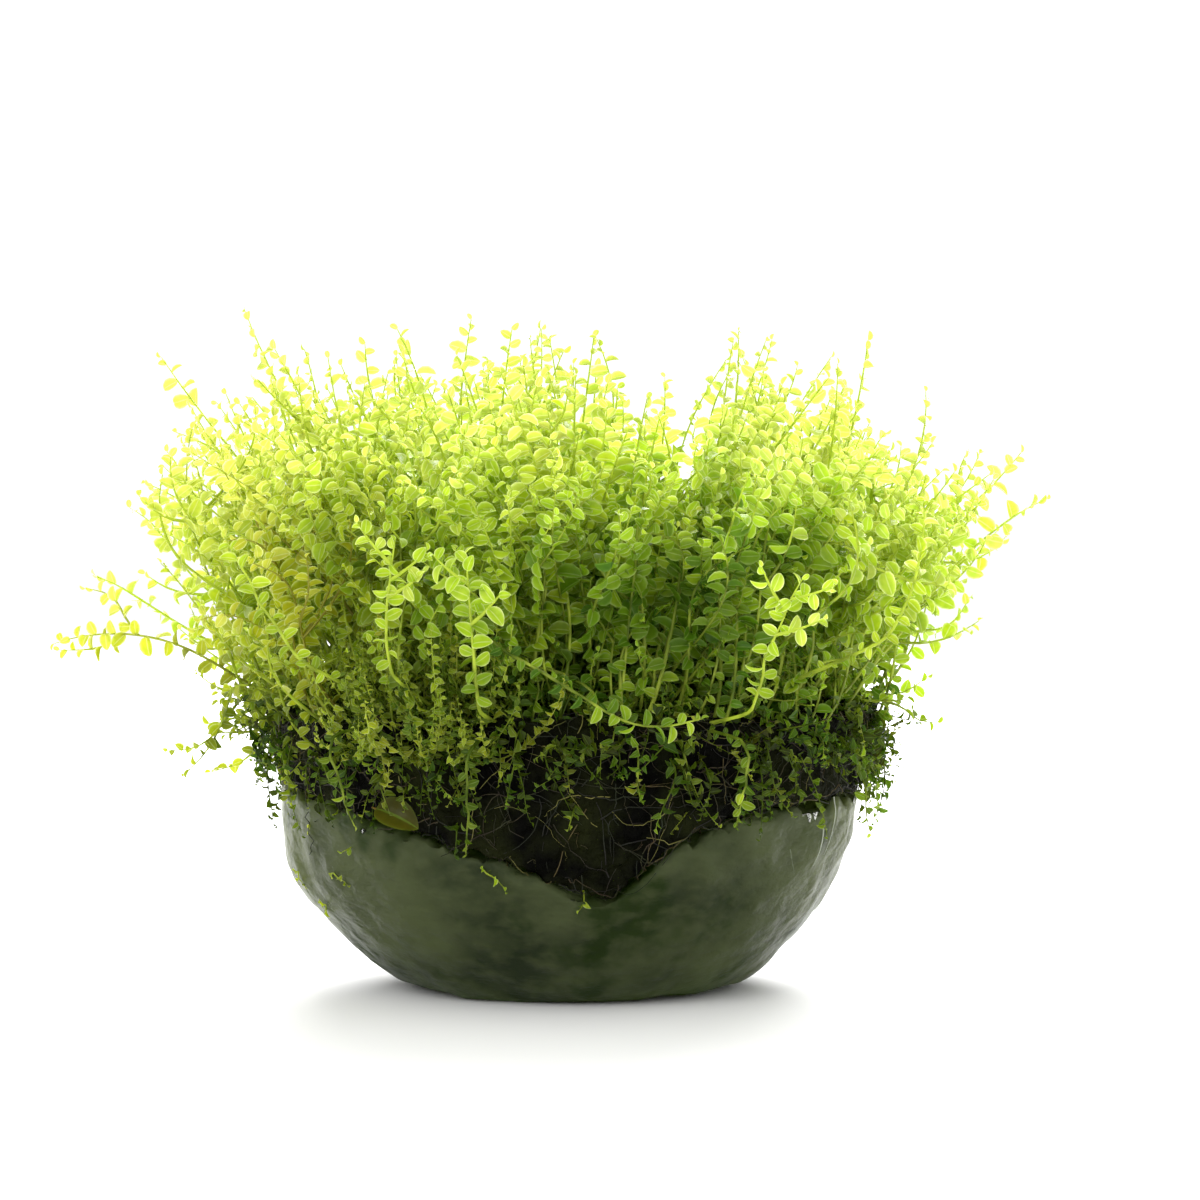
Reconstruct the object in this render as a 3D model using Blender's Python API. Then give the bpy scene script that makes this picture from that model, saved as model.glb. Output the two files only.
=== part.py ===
"""A clump of leafy aquarium moss on the puck of culture gel that it was grown on.

The origin is the centre of the puck's flat foot, +Z is up and the clump's showing side faces -Y.
Every tuft is a closed stand-in for a bundle of shoots, and reaches as far as their tips.
"""

import math

import bmesh
import bpy
from mathutils import Matrix, Vector

MM = 0.001
GAP = 0.35 * MM  # clearance between any two neighbours

# Puck of culture gel, cast in a round-bottomed cup.
FOOT_RADIUS = 15.0 * MM
WALL_RADIUS = 28.2 * MM
CORNER_HEIGHT = 18.0 * MM
CORNER_POWER = 1.5  # superellipse: 2 is a round corner, 1 a chamfer
GEL_HEIGHT = 19.6 * MM
NOTCH_DEPTH = 11.0 * MM  # the gel has broken away in a V at the front
NOTCH_X = 3.5 * MM
NOTCH_LEFT = 15.0 * MM
NOTCH_RIGHT = 9.0 * MM
GEL_SECTORS = 40

# Felt of dead stems and rhizoids between the gel and the living shoots.
MAT_TOP = 27.5 * MM
MAT_RADIUS = 29.6 * MM
MAT_SHOULDER = 1.6 * MM

# The shoots fan out from this point on the axis.
FAN_CENTRE = Vector((0.0, 0.0, 8.0 * MM))
TUFT_SECTORS = 18
TUFT_RINGS = 9

# name: compass angle from +X in degrees, lean from upright in degrees, reach and half-width in mm
TUFTS = {
    "tuft_crown_front": (262, 13, 57, 14),
    "tuft_crown_right": (352, 19, 61, 14),
    "tuft_crown_back": (85, 14, 60, 14),
    "tuft_crown_left": (172, 19, 61, 14),
    "tuft_front": (272, 36, 49, 13.5),
    "tuft_front_right": (316, 38, 54, 14),
    "tuft_right": (358, 42, 63, 14.5),
    "tuft_back_right": (42, 37, 61, 14.5),
    "tuft_back": (88, 37, 58, 14),
    "tuft_back_left": (136, 37, 62, 14.5),
    "tuft_left": (180, 42, 65, 14.5),
    "tuft_front_left": (229, 38, 55, 14),
    "tuft_low_left": (199, 64, 49, 9),
    "tuft_low_right": (338, 64, 42, 8),
}

# Long shoots that stand clear of the tufts, as points in mm from root to tip.
LONG_SHOOTS = {
    "runner_front": [(-8.2, -33, 36), (-4.6, -36.4, 33.6), (1, -38, 30), (6, -38, 27.4),
                     (9.6, -37.4, 27), (13, -36.4, 29.4)],
    "runner_left": [(-23.6, -30, 32), (-26.8, -32.2, 37), (-29.2, -32, 41), (-31.4, -31, 45)],
    "shoot_front_left": [(-15.8, -31.6, 31), (-16.2, -35.4, 35), (-15.9, -37.4, 39.6), (-15.2, -38, 44.4)],
    "shoot_front_middle": [(-8, -32.2, 27.8), (-8.2, -36.8, 31.6), (-8.6, -39.6, 37.4), (-9, -40.6, 43.4)],
    "shoot_front_right": [(16.4, -31.2, 28), (17, -36, 31), (18, -39, 35.6), (21, -40, 41)],
    "shoot_right": [(28.4, -27.8, 34), (30.8, -30.4, 39), (31.8, -30.6, 44), (32, -30, 48)],
    "shoot_hanging_right": [(15.8, -30.8, 26), (16, -32.8, 24.2), (15.8, -32.4, 21.4), (15, -31, 18)],
    "shoot_hanging_middle": [(-9, -31, 25.6), (-9, -32.6, 23.6), (-9.1, -31.6, 19.4), (-9.3, -30.6, 15)],
    "shoot_hanging_left": [(-21.6, -26.2, 26), (-21.6, -28.4, 24.6), (-20.6, -28.6, 21.4), (-19.6, -27.4, 17.4)],
}
SHOOT_WIDTH = 3.6 * MM
SHOOT_THICKNESS = 1.2 * MM
SHOOT_STEPS = 14
SHOOT_SIDES = 8

GEL_COLOUR = (0.16, 0.2, 0.11, 1.0)
MAT_COLOUR = (0.03, 0.035, 0.015, 1.0)
LEAF_COLOUR = (0.33, 0.5, 0.06, 1.0)
SHOOT_COLOUR = (0.42, 0.58, 0.1, 1.0)


def clear_scene():
    for obj in list(bpy.data.objects):
        bpy.data.objects.remove(obj, do_unlink=True)


def make_material(name, colour, roughness):
    material = bpy.data.materials.new(name)
    material.use_nodes = True
    shader = material.node_tree.nodes["Principled BSDF"]
    shader.inputs["Base Color"].default_value = colour
    shader.inputs["Roughness"].default_value = roughness
    shader.inputs["Metallic"].default_value = 0.0
    return material


def add_object(name, bm, material):
    bmesh.ops.recalc_face_normals(bm, faces=bm.faces)
    mesh = bpy.data.meshes.new(name)
    bm.to_mesh(mesh)
    bm.free()
    if material:
        mesh.materials.append(material)
    mesh.shade_smooth()
    obj = bpy.data.objects.new(name, mesh)
    bpy.context.scene.collection.objects.link(obj)
    return obj


def turned(profile, sectors):
    """A closed solid of revolution from (radius, height) points that start and end on the axis."""
    bm = bmesh.new()
    verts = [bm.verts.new((radius, 0.0, height)) for radius, height in profile]
    edges = [bm.edges.new(pair) for pair in zip(verts, verts[1:])]
    bmesh.ops.spin(bm, geom=verts + edges, cent=(0, 0, 0), axis=(0, 0, 1), angle=math.tau, steps=sectors)
    bmesh.ops.remove_doubles(bm, verts=bm.verts, dist=0.01 * MM)
    return bm


def wall_radius(z):
    """Outer radius of the gel at height z: a superellipse corner that runs into the upright wall."""
    share = min(max(z / CORNER_HEIGHT, 0.0), 1.0)
    bulge = (1 - (1 - share) ** CORNER_POWER) ** (1 / CORNER_POWER)
    return FOOT_RADIUS + (WALL_RADIUS - FOOT_RADIUS) * bulge


def gel_top(x, y):
    """Height of the gel's upper face, with gentle waves and the notch at the front."""
    side = NOTCH_LEFT if x < NOTCH_X else NOTCH_RIGHT
    towards_front = min(max(-y / WALL_RADIUS, 0.0), 1.0) ** 1.5
    notch = NOTCH_DEPTH * math.exp(-abs(x - NOTCH_X) / side) * towards_front
    waves = 0.5 * MM * math.sin(x / (7 * MM)) + 0.4 * MM * math.sin(y / (6 * MM) + 1.0)
    return GEL_HEIGHT - notch + waves


def rim_height(angle):
    x, y = WALL_RADIUS * math.cos(angle), WALL_RADIUS * math.sin(angle)
    return gel_top(x, y)


def inside_rim(vert):
    """Draws a vertex of the gel's upper face in, in step with the rim, which is narrower where it dips."""
    angle = math.atan2(vert.co.y, vert.co.x)
    vert.co.xy *= wall_radius(rim_height(angle)) / WALL_RADIUS


def build_gel(material):
    foot = [(0.0, 0.0), (FOOT_RADIUS / 2, 0.0), (FOOT_RADIUS, 0.0)]
    # Above the foot a point's height is first its share of the way up to the rim, in metres.
    wall_shares = [0.03, 0.08, 0.16, 0.28, 0.42, 0.58, 0.78, 1.0]
    wall = [(WALL_RADIUS, share) for share in wall_shares]
    top = [(WALL_RADIUS * share, 2.0) for share in (0.92, 0.75, 0.5, 0.25)] + [(0.0, 2.0)]
    bm = turned(foot + wall + top, GEL_SECTORS)
    for vert in bm.verts:
        x, y, share = vert.co
        angle = math.atan2(y, x)
        if share > 1.5:
            vert.co.z = gel_top(x, y)
            inside_rim(vert)
        elif share > 0.0:
            height = share * rim_height(angle)
            radius = wall_radius(height)
            vert.co = (radius * math.cos(angle), radius * math.sin(angle), height)
    return add_object("culture_gel", bm, material)


def mat_radius(angle, height):
    """Outer radius of the felt: flush with the gel below, spreading and lumpy above."""
    share = min(max((height - CORNER_HEIGHT) / (MAT_TOP - CORNER_HEIGHT), 0.0), 1.0)
    lumps = 0.35 * MM * math.sin(5 * angle + 0.6) + 0.25 * MM * math.sin(9 * angle + 2.0)
    return wall_radius(height) + (MAT_RADIUS - WALL_RADIUS + lumps) * share


def build_mat(material):
    bottom = [(WALL_RADIUS * share, 0.0) for share in (0.0, 0.25, 0.5, 0.75, 0.92)]
    wall = [(WALL_RADIUS, share) for share in (0.001, 0.2, 0.45, 0.7, 0.9)]
    top = [(MAT_RADIUS - MAT_SHOULDER, 1.0)] + [(MAT_RADIUS * share, 1.0) for share in (0.7, 0.35, 0.0)]
    bm = turned(bottom + wall + top, GEL_SECTORS)
    for vert in bm.verts:
        x, y, share = vert.co
        angle = math.atan2(y, x)
        low = rim_height(angle) + GAP
        if share <= 0.0:
            vert.co.z = gel_top(x, y) + GAP
            inside_rim(vert)
        elif share >= 1.0:
            vert.co.z = MAT_TOP
        else:
            height = low + share * (MAT_TOP - low)
            radius = mat_radius(angle, height)
            vert.co = (radius * math.cos(angle), radius * math.sin(angle), height)
    return add_object("rhizoid_mat", bm, material)


def build_clearance():
    """Cutter that keeps the tufts off the felt and off the gel's wall."""
    widest = MAT_RADIUS + 0.6 * MM
    profile = [
        (0.0, -5 * MM),
        (WALL_RADIUS + GAP, -5 * MM),
        (WALL_RADIUS + GAP, CORNER_HEIGHT),
        (widest + GAP, MAT_TOP - MAT_SHOULDER),
        (widest + GAP - MAT_SHOULDER / 2, MAT_TOP + GAP),
        (0.0, MAT_TOP + GAP),
    ]
    clearance = add_object("clearance_cutter", turned(profile, 2 * GEL_SECTORS), None)
    clearance.hide_render = True
    clearance.display_type = "WIRE"
    return clearance


def tuft_direction(compass, lean):
    return Matrix.Rotation(math.radians(compass), 3, "Z") @ Vector(
        (math.sin(math.radians(lean)), 0.0, math.cos(math.radians(lean)))
    )


def teardrop(reach, half_width):
    """A drop standing on its point at the origin, widest two thirds of the way up."""
    profile = []
    for ring in range(TUFT_RINGS + 1):
        share = ring / TUFT_RINGS
        width = half_width * math.sin(math.pi * share**1.5) ** 0.6 if 0 < ring < TUFT_RINGS else 0.0
        profile.append((width, share * reach))
    bm = turned(profile, TUFT_SECTORS)
    for vert in bm.verts:
        angle, share = math.atan2(vert.co.y, vert.co.x), vert.co.z / reach
        vert.co.xy *= 1 + 0.05 * share * math.sin(4 * angle + reach)
    return bm


def cut_by_neighbours(bm, direction, others):
    """Keeps the part of a tuft that lies nearer its own direction than any neighbour's."""
    for other in others:
        normal = (other - direction).normalized()
        point = FAN_CENTRE - normal * GAP / 2
        geometry = bm.verts[:] + bm.edges[:] + bm.faces[:]
        cut = bmesh.ops.bisect_plane(bm, geom=geometry, plane_co=point, plane_no=normal, clear_outer=True)
        edges = [item for item in cut["geom_cut"] if isinstance(item, bmesh.types.BMEdge)]
        if edges:
            bmesh.ops.contextual_create(bm, geom=edges)


def build_tufts(material, clearance):
    directions = {name: tuft_direction(compass, lean) for name, (compass, lean, _, _) in TUFTS.items()}
    for name, (_, _, reach, half_width) in TUFTS.items():
        direction = directions[name]
        bm = teardrop(reach * MM, half_width * MM)
        turn = direction.to_track_quat("Z", "Y").to_matrix().to_4x4()
        bmesh.ops.transform(bm, matrix=Matrix.Translation(FAN_CENTRE) @ turn, verts=bm.verts)
        cut_by_neighbours(bm, direction, [other for key, other in directions.items() if key != name])
        tuft = add_object(name, bm, material)
        cut = tuft.modifiers.new("clear_of_the_felt", "BOOLEAN")
        cut.operation = "DIFFERENCE"
        cut.object = clearance


def smooth_route(points, steps):
    """Catmull-Rom curve through the points, as evenly counted positions."""
    points = [Vector(point) * MM for point in points]
    padded = [2 * points[0] - points[1], *points, 2 * points[-1] - points[-2]]
    route = []
    for step in range(steps + 1):
        place = step / steps * (len(points) - 1)
        index = min(int(place), len(points) - 2)
        t = place - index
        a, b, c, d = padded[index : index + 4]
        route.append(
            0.5 * (2 * b + (c - a) * t + (2 * a - 5 * b + 4 * c - d) * t**2 + (3 * b - a - 3 * c + d) * t**3)
        )
    return route


def build_long_shoot(name, points, material):
    """A flat leafy shoot: an oval section swept along its route, tapering to both ends."""
    route = smooth_route(points, SHOOT_STEPS)
    bm = bmesh.new()
    rings = []
    for step, centre in enumerate(route):
        along = (route[min(step + 1, SHOOT_STEPS)] - route[max(step - 1, 0)]).normalized()
        outward = Vector((centre.x, centre.y, 0.0)).normalized()
        across = along.cross(outward).normalized()
        depth = across.cross(along)
        taper = 0.25 + 0.75 * math.sin(math.pi * (0.08 + 0.84 * step / SHOOT_STEPS)) ** 0.5
        ring = []
        for side in range(SHOOT_SIDES):
            angle = math.tau * side / SHOOT_SIDES
            offset = across * math.cos(angle) * SHOOT_WIDTH + depth * math.sin(angle) * SHOOT_THICKNESS
            ring.append(bm.verts.new(centre + offset * taper / 2))
        rings.append(ring)
    for low, high in zip(rings, rings[1:]):
        for side in range(SHOOT_SIDES):
            after = (side + 1) % SHOOT_SIDES
            bm.faces.new((low[side], low[after], high[after], high[side]))
    bm.faces.new(rings[0])
    bm.faces.new(rings[-1])
    return add_object(name, bm, material)


def main():
    clear_scene()
    gel = make_material("gel", GEL_COLOUR, 0.35)
    felt = make_material("felt", MAT_COLOUR, 0.9)
    leaf = make_material("leaf", LEAF_COLOUR, 0.5)
    shoot = make_material("shoot", SHOOT_COLOUR, 0.5)
    build_gel(gel)
    build_mat(felt)
    build_tufts(leaf, build_clearance())
    for name, points in LONG_SHOOTS.items():
        build_long_shoot(name, points, shoot)


main()
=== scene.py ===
import math
import random

import bmesh
import bpy
import numpy as np
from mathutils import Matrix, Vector, noise
from mathutils.bvhtree import BVHTree


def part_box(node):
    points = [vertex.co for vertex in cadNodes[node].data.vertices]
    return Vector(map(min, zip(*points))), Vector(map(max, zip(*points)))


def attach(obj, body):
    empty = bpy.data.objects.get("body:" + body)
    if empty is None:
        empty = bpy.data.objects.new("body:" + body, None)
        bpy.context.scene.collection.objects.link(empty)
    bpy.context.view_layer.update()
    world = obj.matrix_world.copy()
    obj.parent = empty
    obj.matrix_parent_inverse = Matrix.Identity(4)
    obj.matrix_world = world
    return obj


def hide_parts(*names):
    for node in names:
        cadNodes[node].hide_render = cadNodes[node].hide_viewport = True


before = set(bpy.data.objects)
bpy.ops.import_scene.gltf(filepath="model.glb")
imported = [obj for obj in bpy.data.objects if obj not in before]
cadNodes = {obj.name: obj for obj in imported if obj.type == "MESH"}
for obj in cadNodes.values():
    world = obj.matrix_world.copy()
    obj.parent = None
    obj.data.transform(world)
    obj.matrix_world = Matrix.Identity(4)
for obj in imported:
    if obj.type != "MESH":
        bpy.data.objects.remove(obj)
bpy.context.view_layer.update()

mm = 0.001

matLow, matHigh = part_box("rhizoid_mat")
matTop = matHigh[2]
matRadius = (matHigh[0] - matLow[0]) / 2
fanCentre = Vector((0, 0, matTop - 19.5 * mm))  # every tuft points away from here


def deselectAll():
    if bpy.context.mode != "OBJECT":
        bpy.ops.object.mode_set(mode="OBJECT")
    bpy.ops.object.select_all(action="DESELECT")


def makeActive(obj):
    deselectAll()
    obj.select_set(True)
    bpy.context.view_layer.objects.active = obj


def addModifier(obj, name, kind, **settings):
    modifier = obj.modifiers.new(name, kind)
    for setting, value in settings.items():
        setattr(modifier, setting, value)


def cloudTexture(name, scale, depth):
    texture = bpy.data.textures.new(name, "CLOUDS")
    texture.noise_scale = scale
    texture.noise_depth = depth
    return texture


def applyModifiers(obj):
    makeActive(obj)
    for modifier in list(obj.modifiers):
        bpy.ops.object.modifier_apply(modifier=modifier.name)


def copyOfNode(nodeName, pieceName):
    # the CAD solid's own triangles, merged, as a start for a finer surface
    obj = cadNodes[nodeName].copy()
    obj.data = cadNodes[nodeName].data.copy()
    obj.name = pieceName
    obj.data.name = pieceName
    obj.parent = None
    bpy.context.scene.collection.objects.link(obj)
    obj.data.materials.clear()
    makeActive(obj)
    bpy.ops.object.mode_set(mode="EDIT")
    bpy.ops.mesh.select_all(action="SELECT")
    bpy.ops.mesh.remove_doubles(threshold=0.01 * mm)
    bpy.ops.mesh.normals_make_consistent(inside=False)
    bpy.ops.object.mode_set(mode="OBJECT")
    return obj


leafColours = {
    "young": (0.64, 0.73, 0.125),
    "grown": (0.45, 0.65, 0.022),
    "old": (0.075, 0.185, 0.006),
    "oldest": (0.020, 0.050, 0.002),
    "youngOlive": (0.74, 0.72, 0.115),
    "grownOlive": (0.56, 0.54, 0.022),
    "oldOlive": (0.120, 0.115, 0.008),
    "oldestOlive": (0.045, 0.040, 0.005),
    # pale border colours: partly the leaf's real border, partly a painted highlight on wet edges lit from behind
    "rim": (0.92, 0.98, 0.44),
    "oldBorderAndHighlight": (0.22, 0.40, 0.035),
    "borderAndHighlightShare": 0.95,
    "rimSharpness": 2.6,
    "midribShare": 0.34,
    "cellShade": (0.55, 0.72, 0.40),
    "cellShare": 0.4,
    "grownAge": 0.45,
    "oldAge": 1.0,
    "roughness": 0.27,
    "gloss": 0.22,
    "lightThrough": 0.60,
}
oldestAge = 1.4  # 0 is a new leaf, 1 an old one low in the clump; in the clump the age also holds painted shade low down and painted light at the crown and sides
stemColours = {"young": (0.62, 0.72, 0.10), "old": (0.10, 0.16, 0.010), "dead": (0.30, 0.17, 0.03)}


def setInputs(tree, node, inputs):
    # joins each input to another socket, or gives it a plain value
    for name, value in inputs.items():
        if isinstance(value, bpy.types.NodeSocket):
            tree.links.new(value, node.inputs[name])
        elif value is not None:
            node.inputs[name].default_value = value


def addNode(tree, kind, inputs=None, **settings):
    node = tree.nodes.new(kind)
    for name, value in settings.items():
        setattr(node, name, value)
    setInputs(tree, node, inputs or {})
    return node


def newMaterial(name):
    material = bpy.data.materials.new(name)
    material.use_nodes = True
    tree = material.node_tree
    return material, tree, tree.nodes["Principled BSDF"]


shaderSockets = {
    "roughness": "Roughness", "gloss": "Specular IOR Level", "ior": "IOR", "transmission": "Transmission Weight",
}


def setSurface(tree, shader, colour, look):
    values = {socket: look[key] for key, socket in shaderSockets.items() if key in look}
    setInputs(tree, shader, {"Base Color": colour, **values})


def attributeNode(tree, name):
    return addNode(tree, "ShaderNodeAttribute", attribute_name=name).outputs["Fac"]


def mathNode(tree, operation, first, second=None):
    return addNode(tree, "ShaderNodeMath", {0: first, 1: second}, operation=operation).outputs[0]


def times(tree, first, second):
    return mathNode(tree, "MULTIPLY", first, second)


def mixColour(tree, factor, first, second, blend="MIX"):
    inputs = {0: factor, 6: first, 7: second}
    inputs = {place: (*value, 1.0) if isinstance(value, tuple) else value for place, value in inputs.items()}
    return addNode(tree, "ShaderNodeMix", inputs, data_type="RGBA", blend_type=blend).outputs[2]


def rampNode(tree, factor, stops):
    node = addNode(tree, "ShaderNodeValToRGB", {"Fac": factor})
    elements = node.color_ramp.elements
    while len(elements) < len(stops):
        elements.new(0.5)
    for element, (position, colour) in zip(elements, stops):
        element.position = position
        element.color = (*colour, 1.0)
    return node.outputs["Color"]


def rangeMask(tree, value, low, high):
    # 0 at low, 1 at high
    return addNode(tree, "ShaderNodeMapRange", {"Value": value, "From Min": low, "From Max": high}).outputs[0]


def makeMottleGroup():
    # soft clouds in a piece's own space: a mask between two levels, and the height itself
    group = bpy.data.node_groups.new("mottle", "ShaderNodeTree")
    for name, value in (("Scale", 100.0), ("Detail", 3.0), ("Low", 0.4), ("High", 0.6)):
        socket = group.interface.new_socket(name, in_out="INPUT", socket_type="NodeSocketFloat")
        socket.default_value = value
    socket = group.interface.new_socket("Stretch", in_out="INPUT", socket_type="NodeSocketVector")
    socket.default_value = (1, 1, 1)
    for name in ("Mask", "Height"):
        group.interface.new_socket(name, in_out="OUTPUT", socket_type="NodeSocketFloat")
    start = addNode(group, "NodeGroupInput").outputs
    place = addNode(group, "ShaderNodeTexCoord").outputs["Object"]
    stretched = addNode(group, "ShaderNodeVectorMath", {0: place, 1: start["Stretch"]}, operation="MULTIPLY")
    inputs = {"Vector": stretched.outputs[0], "Scale": start["Scale"], "Detail": start["Detail"]}
    clouds = addNode(group, "ShaderNodeTexNoise", inputs).outputs["Fac"]
    mask = rangeMask(group, clouds, start["Low"], start["High"])
    addNode(group, "NodeGroupOutput", {"Mask": mask, "Height": clouds})
    return group


mottleGroup = makeMottleGroup()


def mottle(tree, scale, detail, low=0.35, high=0.65, stretch=(1, 1, 1)):
    values = {"Scale": scale, "Detail": detail, "Low": low, "High": high, "Stretch": stretch}
    node = addNode(tree, "ShaderNodeGroup", values, node_tree=mottleGroup)
    return node.outputs["Mask"], node.outputs["Height"]


def addBump(tree, shader, height, depth, strength=1.0):
    bump = addNode(tree, "ShaderNodeBump", {"Strength": strength, "Distance": depth, "Height": height})
    setInputs(tree, shader, {"Normal": bump.outputs[0]})


def makeLeafMaterial():
    material, tree, shader = newMaterial("mossLeaf")
    age, olive, stem = (attributeNode(tree, name) for name in ("age", "olive", "stem"))
    c = leafColours
    place = mathNode(tree, "DIVIDE", age, oldestAge)
    stops = (0.0, c["grownAge"] / oldestAge, c["oldAge"] / oldestAge, 1.0)
    tones = ("young", "grown", "old", "oldest")
    # where the age holds painted shade and light, this ramp paints them on the leaves, and further down on the stems
    green = rampNode(tree, place, list(zip(stops, [c[tone] for tone in tones])))
    brown = rampNode(tree, place, list(zip(stops, [c[tone + "Olive"] for tone in tones])))
    blade = mixColour(tree, olive, green, brown)
    cells, _ = mottle(tree, 1300, 2)
    cells = times(tree, cells, c["cellShare"])
    blade = mixColour(tree, cells, blade, c["cellShade"], "MULTIPLY")
    uvMap = addNode(tree, "ShaderNodeUVMap", uv_map="UVMap")
    split = addNode(tree, "ShaderNodeSeparateXYZ", {0: uvMap.outputs["UV"]})
    fromMidrib = mathNode(tree, "ABSOLUTE", mathNode(tree, "SUBTRACT", split.outputs["X"], 0.5))
    fromMiddle = mathNode(tree, "ABSOLUTE", mathNode(tree, "SUBTRACT", split.outputs["Y"], 0.5))
    toEdge = mathNode(tree, "MAXIMUM", fromMidrib, fromMiddle)
    # pale border: partly the leaf's real border, partly a painted highlight on wet edges lit from behind
    rim = mathNode(tree, "POWER", rangeMask(tree, toEdge, 0.28, 0.5), c["rimSharpness"])
    rim = times(tree, rim, c["borderAndHighlightShare"])
    rim = times(tree, rim, rangeMask(tree, age, 1.35, 0.45))  # fainter on old leaves and in the painted shade
    midrib = times(tree, rangeMask(tree, fromMidrib, 0.06, 0.02), c["midribShare"])
    borderAndHighlightColour = mixColour(tree, rangeMask(tree, age, 0.35, 1.2), c["rim"], c["oldBorderAndHighlight"])
    blade = mixColour(tree, mathNode(tree, "MAXIMUM", rim, midrib), blade, borderAndHighlightColour)
    stalk = mixColour(tree, rangeMask(tree, age, 0.5, 1.1), stemColours["young"], stemColours["old"])
    stalk = mixColour(tree, rangeMask(tree, olive, 0.7, 1.1), stalk, stemColours["dead"])
    colour = mixColour(tree, stem, blade, stalk)
    setSurface(tree, shader, colour, c)
    through = addNode(tree, "ShaderNodeBsdfTranslucent", {"Color": colour}).outputs[0]
    both = addNode(tree, "ShaderNodeMixShader", {0: c["lightThrough"], 1: shader.outputs[0], 2: through})
    setInputs(tree, tree.nodes["Material Output"], {"Surface": both.outputs[0]})
    return material


gelLook = {
    "cloudDark": (0.034, 0.048, 0.020),
    "cloudLight": (0.150, 0.180, 0.078),
    # painted light: the colour of the thin left and right sides, lit through from behind
    "side": (0.21, 0.25, 0.085),
    "sideGlowFrom": (20 * mm, 27 * mm),  # painted light through the thin sides begins here and is full here
    "algae": (0.020, 0.045, 0.003),
    "algaeShare": 0.8,
    "grainShare": 0.55,
    "bumpDepth": 1.2 * mm,
    "ior": 1.16,
    "roughness": 0.30,
    "gloss": 0.1,
    "transmission": 0.66,
    "absorbed": (0.55, 0.61, 0.20),
    "density": 195.0,
}

def makeGelMaterial():
    material, tree, shader = newMaterial("cultureGel")
    look = gelLook
    place = addNode(tree, "ShaderNodeTexCoord").outputs["Object"]
    split = addNode(tree, "ShaderNodeSeparateXYZ", {0: place})
    sideways = mathNode(tree, "ABSOLUTE", split.outputs["X"])
    clouds, cloudHeight = mottle(tree, 85, 5, 0.36, 0.66, (1, 1, 1.6))
    colour = mixColour(tree, clouds, look["cloudDark"], look["cloudLight"])
    # painted light: the thin left and right sides paler, as if lit through from behind
    sideGlow, _ = mottle(tree, 120, 3, 0.30, 0.55)
    sideGlow = times(tree, sideGlow, rangeMask(tree, sideways, *look["sideGlowFrom"]))
    colour = mixColour(tree, sideGlow, colour, look["side"])
    algae, _ = mottle(tree, 110, 4, 0.53, 0.62, (1, 1, 0.7))
    colour = mixColour(tree, times(tree, algae, look["algaeShare"]), colour, look["algae"])
    grain, grainHeight = mottle(tree, 480, 4, 0.44, 0.70, (1, 1, 1.8))
    colour = mixColour(tree, times(tree, grain, look["grainShare"]), colour, look["cloudLight"])
    setSurface(tree, shader, colour, look)
    height = mathNode(tree, "ADD", cloudHeight, times(tree, grainHeight, 0.35))
    addBump(tree, shader, height, look["bumpDepth"], 0.9)
    absorbing = {"Color": (*look["absorbed"], 1), "Density": look["density"]}
    inside = addNode(tree, "ShaderNodeVolumeAbsorption", absorbing)
    setInputs(tree, tree.nodes["Material Output"], {"Volume": inside.outputs[0]})
    return material


feltLook = {
    "dark": (0.0015, 0.0015, 0.001),
    "light": (0.016, 0.019, 0.005),
    "roughness": 0.42,
    "gloss": 0.02,
    "grainDepth": 0.7 * mm,
}


def makeFeltMaterial():
    material, tree, shader = newMaterial("rhizoidFelt")
    patches, _ = mottle(tree, 190, 4, 0.42, 0.78)
    colour = mixColour(tree, patches, feltLook["dark"], feltLook["light"])
    setSurface(tree, shader, colour, feltLook)
    _, grain = mottle(tree, 1500, 4)
    addBump(tree, shader, grain, feltLook["grainDepth"])
    return material


fibreLook = {
    # from fresh to rotten
    "stops": [
        (0.0, (0.26, 0.28, 0.06)), (0.3, (0.12, 0.09, 0.03)),
        (0.6, (0.035, 0.022, 0.010)), (1.0, (0.006, 0.005, 0.004)),
    ],
    "slime": (0.02, 0.035, 0.006),
    "slimeShare": 0.5,
    "roughness": 0.45,
    "gloss": 0.25,
}


def makeFibreMaterial():
    material, tree, shader = newMaterial("rhizoidFibre")
    colour = rampNode(tree, attributeNode(tree, "age"), fibreLook["stops"])
    slime, _ = mottle(tree, 400, 3, 0.4, 0.7)
    slime = times(tree, slime, fibreLook["slimeShare"])
    colour = mixColour(tree, slime, colour, fibreLook["slime"])
    setSurface(tree, shader, colour, fibreLook)
    return material


# pale threads on the gel's folds: their pale colour is a painted highlight along the fold lines
creaseHighlightLook = {
    "stops": [(0.0, (0.22, 0.26, 0.15)), (1.0, (0.66, 0.70, 0.58))],
    "cloudy": (0.45, 0.50, 0.33),
    "cloudyShare": 0.5,
    "roughness": 0.3,
    "ior": 1.2,
    "transmission": 0.5,
}


def makeCreaseHighlightMaterial():
    material, tree, shader = newMaterial("gelCreaseHighlight")
    look = creaseHighlightLook
    colour = rampNode(tree, attributeNode(tree, "age"), look["stops"])
    cloudy, _ = mottle(tree, 500, 2)
    colour = mixColour(tree, times(tree, cloudy, look["cloudyShare"]), colour, look["cloudy"])
    setSurface(tree, shader, colour, look)
    return material


leafMaterial = makeLeafMaterial()
fibreMaterial = makeFibreMaterial()
creaseHighlightMaterial = makeCreaseHighlightMaterial()
gelMaterial = makeGelMaterial()
feltMaterial = makeFeltMaterial()
print("materials made")

leafShape = {
    # share of the length, share of the full width
    "rows": [(0.0, 0.14), (0.13, 0.68), (0.36, 0.98), (0.64, 1.0), (0.88, 0.66), (1.0, 0.16)],
    "width": 0.70,
    "cup": 0.36,  # lift of the two edges, as a share of the width
    "tipCurl": 0.26,
}
tinyLeafShape = {
    "rows": [(0.0, 0.16), (0.34, 1.0), (0.74, 0.8), (1.0, 0.12)],
    "width": 0.66,
    "cup": 0.5,
    "tipCurl": 0.45,
}


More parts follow.
